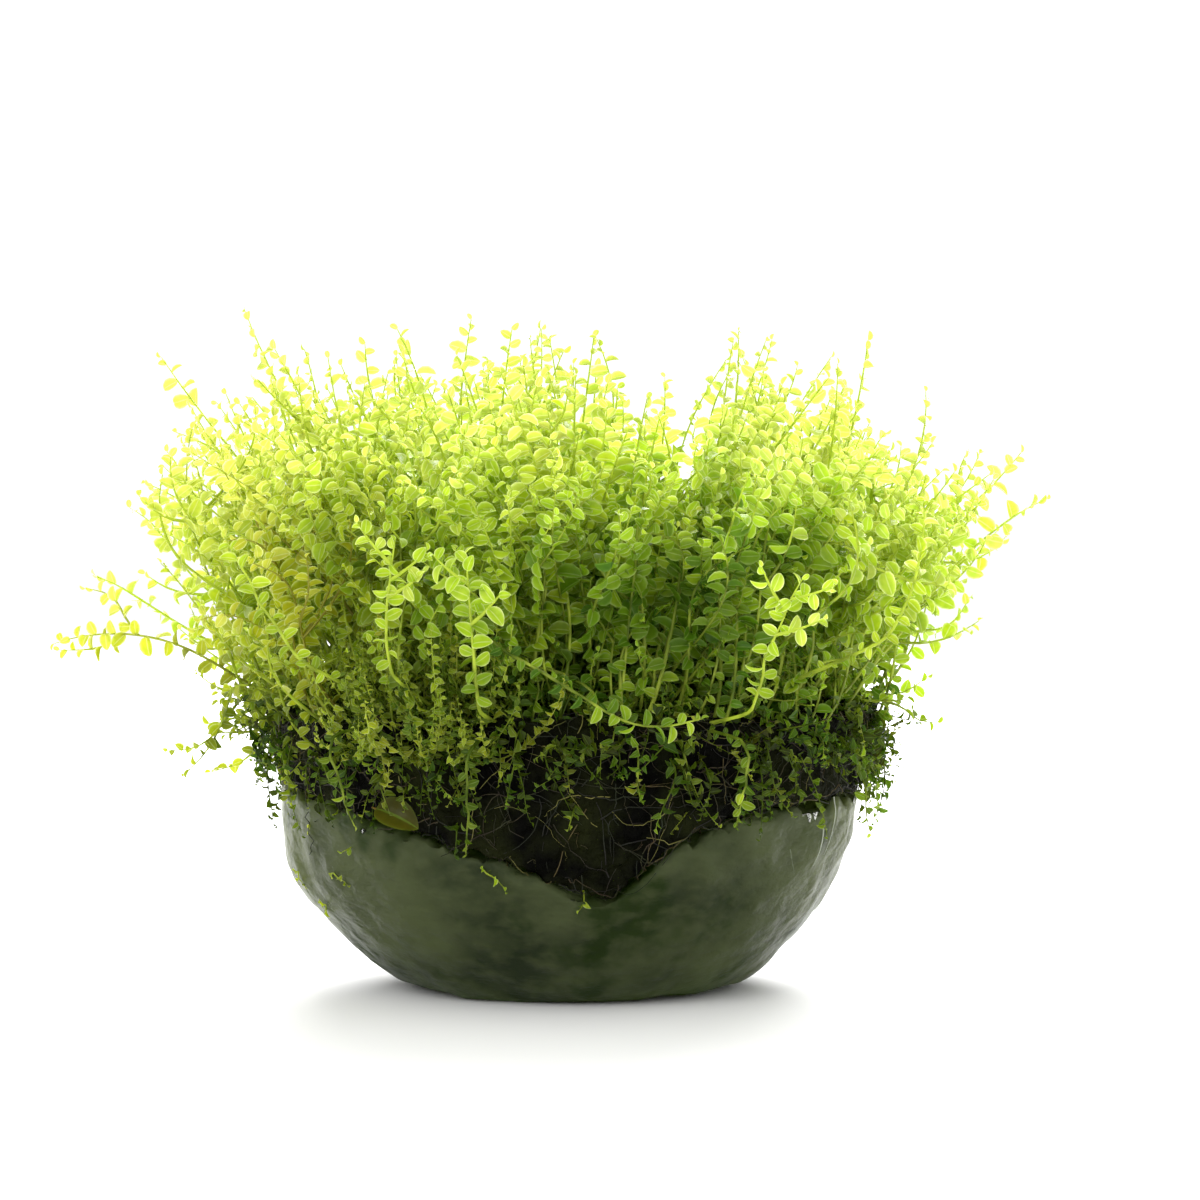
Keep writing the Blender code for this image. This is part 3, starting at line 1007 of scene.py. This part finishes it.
def makeGelMarks():
    # creases where the gel has torn, pale as a painted highlight along the folds, and strands of moss that grew down
    # into it
    rng = random.Random(5)
    tree = surfaceOf(gel)
    creases = Shoots()
    for number in range(gelMarks["creases"]):
        # they fan out downwards from the upper edge, most of them at the right
        side = rng.choice((-1, 1, 1))
        azimuth = math.radians(-90 + side * rng.gauss(62, 5))
        start = onWall(azimuth, rng.uniform(8, 17))
        lean = rng.uniform(-0.5, 0.1)
        heading = np.array([side * lean * math.sin(azimuth), -side * lean * math.cos(azimuth), -1.0])
        points = crawl(rng, tree, start, heading, 0.6 * mm, rng.randint(6, 14), 0.012, (-0.02, 0.0))
        addThread(creases, points, rng.uniform(*gelMarks["creaseRadius"]) * mm, rng.random() ** 2)
    for degrees, height, length in gelMarks["tears"]:
        azimuth = math.radians(degrees)
        steps = int(length / 0.6)
        points = crawl(rng, tree, onWall(azimuth, height), np.array([0, 0, -1.0]), 0.6 * mm, steps, 0.03, (-0.04, 0.0))
        addThread(creases, points, 0.11 * mm, 0.9)
    piece = creases.build("gel_creases", makeShootNodes("creaseNodes", plainLeaf, 4, creaseHighlightMaterial))
    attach(piece, "root")
    strands = Shoots()
    for number in range(gelMarks["strands"]):
        azimuth = rng.uniform(0, 2 * math.pi)
        depth, drift, low = rng.uniform(0.8, 0.97), rng.uniform(-0.25, 0.25), rng.uniform(2, 9)
        points = []
        for step in range(12):
            turn = azimuth + drift * step / 11 + 0.02 * math.sin(step * 1.3 + number)
            points.append(onWall(turn, low + (17 - low) * (1 - step / 11), depth))
        addThread(strands, points, rng.uniform(0.05, 0.12) * mm, rng.uniform(0, 0.5))
    piece = strands.build("gel_strands", makeShootNodes("strandNodes", plainLeaf, 3, fibreMaterial))
    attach(piece, "root")
    sprigs = Shoots()
    look = dict(shootLook, leafLength=1.1 * mm, leafGap=0.65 * mm, bareShare=0.0, stemRadius=0.11 * mm, lowSize=1)
    places = outerPoints(rng, gel, gelMarks["sprigs"], 6 * mm, 16 * mm)
    for azimuth, height in ((-163, 12.5), (-155, 9.5)):
        spot = onWall(math.radians(azimuth), height)
        places.append((spot, unit(spot * (1, 1, 0))))
    for place, normal in places:
        heading = np.array([rng.gauss(0, 0.3), rng.gauss(0, 0.3), -1.0])
        path = np.array(crawl(rng, tree, place, heading, 0.6 * mm, rng.randint(4, 9), 0.15, (0.0, 0.3)))
        sprigs.add(*leafyShoot(rng, path, normal, look, lambda p, s: 0.6 + 0 * s, rng.uniform(0.1, 0.6), 0.9))
    piece = sprigs.build("gel_sprigs", makeShootNodes("gelSprigNodes", tinyLeaf, 3, leafMaterial))
    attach(piece, "root")
    print("marks on the gel made")


deadLeaf = {"degrees": -123, "height": 18.4, "length": 4.4 * mm, "tilt": -14, "age": 1.2}


def makeDeadLeaf():
    # a fallen brown leaf, stuck to the front where the felt meets the gel
    spot = onWall(math.radians(deadLeaf["degrees"]), deadLeaf["height"], 1.045)
    out = unit(spot * (1, 1, 0))
    across = np.cross([0, 0, 1.0], out)
    tilt = math.radians(deadLeaf["tilt"])
    blade = across * math.cos(tilt) + np.array([0, 0, 1.0]) * math.sin(tilt)
    face = unit(out + np.array([0, 0, 0.8]))
    face = unit(face - (face @ blade) * blade)
    turn = eulerAngles(np.cross(blade, face)[None], blade[None], face[None])[0]
    bundle = Shoots()
    ends = [spot - blade * deadLeaf["length"] / 2, spot - blade * deadLeaf["length"] * 0.62]
    bundle.add(ends, [turn, turn], [deadLeaf["length"], 0], [deadLeaf["age"]] * 2, [1, 1], [0.12 * mm, 0.08 * mm])
    piece = bundle.build("dead_leaf", makeShootNodes("deadLeafNodes", fineLeaf, 5, leafMaterial))
    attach(piece, "root")


rimSprigs = {
    "count": 900,
    "leafLength": 1.05 * mm,
    "leafGap": 0.60 * mm,
    "length": (2.5, 8),  # mm
    "apron": 170,  # longer shoots that hang down over the felt
    "apronLength": (3.5, 11),  # mm
    "window": (-42, -14),  # degrees: at the right the gel's wall shows between the shoots
    "fuzz": 150,  # tiny leaves of a yellow patch at the front
}


def makeRimSprigs():
    # half-buried shoots that grow out of the felt and hang over its edge, and the yellow patch
    rng = random.Random(8)
    bundle = Shoots()
    small = dict(shootLook, leafLength=rimSprigs["leafLength"], leafGap=rimSprigs["leafGap"])
    small.update(bareShare=0.05, stemRadius=0.11 * mm, scatter=0.65, crowding=0.1, lowSize=1)
    tiny = dict(small, leafLength=1.0 * mm, leafGap=0.6 * mm)
    for place, normal in outerPoints(rng, felt, rimSprigs["count"], matTop - 10 * mm, matTop + 3 * mm):
        depth = max(matTop - place[2], 0) / (11 * mm)
        degrees = math.degrees(math.atan2(place[1], place[0]))
        inWindow = rimSprigs["window"][0] < degrees < rimSprigs["window"][1]
        if rng.random() < depth * (2 if inWindow else 1):
            continue  # fewer of them low down, where they lie closer to the felt
        length = rng.uniform(*rimSprigs["length"]) * mm * (1 - 0.4 * depth)
        out = unit(normal * (0.9 - depth) + gausses(rng, 0.45) - (0, 0, depth))
        start = place - normal * 0.6 * mm
        tip = start + out * 0.75 * length + normal * 0.8 * mm
        path = bezier(start, start + normal * 0.35 * length, tip - out * 0.2 * length, tip, 12)
        # old dark leaves: partly real age, partly painted shade on the low moss under the clump
        age, olive = rng.uniform(0.95, 1.5), rng.uniform(0.1, 0.8)
        facing = out + normal + gausses(rng, 0.6)
        bundle.add(*leafyShoot(rng, path, facing, small, lambda p, s: age - 0.2 * s, olive, rng.uniform(0.7, 1.2)))
    for _ in range(rimSprigs["apron"]):
        # out over the rim, then down close to the felt
        azimuth = rng.uniform(0, 2 * math.pi)
        shortest, longest = rimSprigs["apronLength"]
        length = (shortest + (longest - shortest) * rng.random() ** 1.6) * mm
        if rimSprigs["window"][0] < math.degrees(azimuth) - 360 < rimSprigs["window"][1]:
            length = shortest * mm
        flat = np.array([math.cos(azimuth), math.sin(azimuth), 0])
        start = flat * matRadius * rng.uniform(0.82, 0.97) + np.array([0, 0, matTop - rng.uniform(0, 3) * mm])
        over = flat * (matRadius + rng.uniform(0.0, 1.2) * mm) + np.array([0, 0, start[2] + rng.uniform(-1, 1) * mm])
        aside = np.array([-flat[1], flat[0], 0]) * rng.gauss(0, 0.45) * length
        tip = over + aside - np.array([0, 0, length]) - flat * rng.uniform(0, 0.14) * length
        tip[:2] *= min(1, (matRadius + 1 * mm) / np.hypot(*tip[:2]))
        path = wander(rng, bezier(start, over, over - np.array([0, 0, 0.4 * length]), tip, 14), 0.6 * mm)
        # old dark leaves: partly real age, partly painted shade on the low moss under the clump
        age, olive = rng.uniform(0.95, 1.5), rng.uniform(0.0, 0.7)
        facing = flat + gausses(rng, 0.5)
        bundle.add(*leafyShoot(rng, path, facing, small, lambda p, s: age - 0.15 * s, olive, rng.uniform(0.8, 1.3)))
    patch = [
        spot for spot in outerPoints(rng, felt, 4000, matTop - 4 * mm, matTop + 3 * mm)
        if -20 * mm < spot[0][0] < -6 * mm and spot[0][1] < -20 * mm
    ]
    for place, normal in patch[: rimSprigs["fuzz"]]:
        length = rng.uniform(4, 10) * mm
        out = unit(normal + gausses(rng, 0.6))
        tip = place + (out * 0.7 + np.array([0, -0.1, 0.6])) * length
        path = bezier(place, place + out * 0.35 * length, tip - np.array([0, 0, 0.3]) * length, tip, 12)
        age, olive = rng.uniform(0.70, 1.15), rng.uniform(0.3, 0.8)
        bundle.add(*leafyShoot(rng, path, out, tiny, lambda p, s: age - 0.2 * s, olive, rng.uniform(0.6, 1.1)))
    piece = bundle.build("rim_sprigs", makeShootNodes("sprigNodes", tinyLeaf, 3, leafMaterial))
    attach(piece, "root")
    print("sprigs made,", sum(len(p.vertices) - 2 for p in piece.data.polygons), "triangles")


makeFibres()
makeGelMarks()
makeDeadLeaf()
makeRimSprigs()

for spareLeaf in (plainLeaf, tinyLeaf, fineLeaf):
    bpy.data.objects.remove(spareLeaf, do_unlink=True)

stage = {
    "viewWidth": 116.4 * mm,  # across the frame, at the clump
    "distance": 0.42,
    "elevation": 2.0,
    "aim": (2.8 * mm, 0, 37.3 * mm),
    "floorColour": (0.86, 0.86, 0.85, 1),
    "worldStrength": 1.2,
    "keyPower": 9.0,
    "fillPower": 1.6,
}


def makeStage():
    deselectAll()
    bpy.ops.mesh.primitive_plane_add(size=6, location=(0, 0, -0.05 * mm))
    floor = bpy.context.active_object
    floor.name = "floor"
    material, tree, shader = newMaterial("paleFloor")
    setInputs(tree, shader, {"Base Color": stage["floorColour"], "Roughness": 0.7})
    floor.data.materials.append(material)

    world = bpy.data.worlds.new("studio")
    world.use_nodes = True
    background = {"Color": (1, 1, 1, 1), "Strength": stage["worldStrength"]}
    setInputs(world.node_tree, world.node_tree.nodes["Background"], background)
    bpy.context.scene.world = world

    def areaLight(name, place, size, power):
        light = bpy.data.lights.new(name, "AREA")
        light.size = size
        light.energy = power
        lamp = bpy.data.objects.new(name, light)
        lamp.location = place
        lamp.rotation_euler = (Vector((0, 0, 0.03)) - Vector(place)).to_track_quat("-Z", "Y").to_euler()
        bpy.context.scene.collection.objects.link(lamp)

    areaLight("backLight", (0.05, 0.45, 0.42), 0.5, stage["keyPower"])
    areaLight("frontFill", (-0.25, -0.5, 0.35), 0.4, stage["fillPower"])

    camera = bpy.data.cameras.new("camera")
    camera.sensor_width = 36
    camera.lens = 36 * stage["distance"] / stage["viewWidth"]
    camera.clip_start = 0.01
    eye = bpy.data.objects.new("camera", camera)
    tilt = math.radians(stage["elevation"])
    back = Vector((0, -math.cos(tilt), math.sin(tilt)))
    eye.location = Vector(stage["aim"]) + back * stage["distance"]
    eye.rotation_euler = (-back).to_track_quat("-Z", "Y").to_euler()
    bpy.context.scene.collection.objects.link(eye)
    bpy.context.scene.camera = eye
    bpy.context.scene.view_settings.view_transform = "Standard"


makeStage()
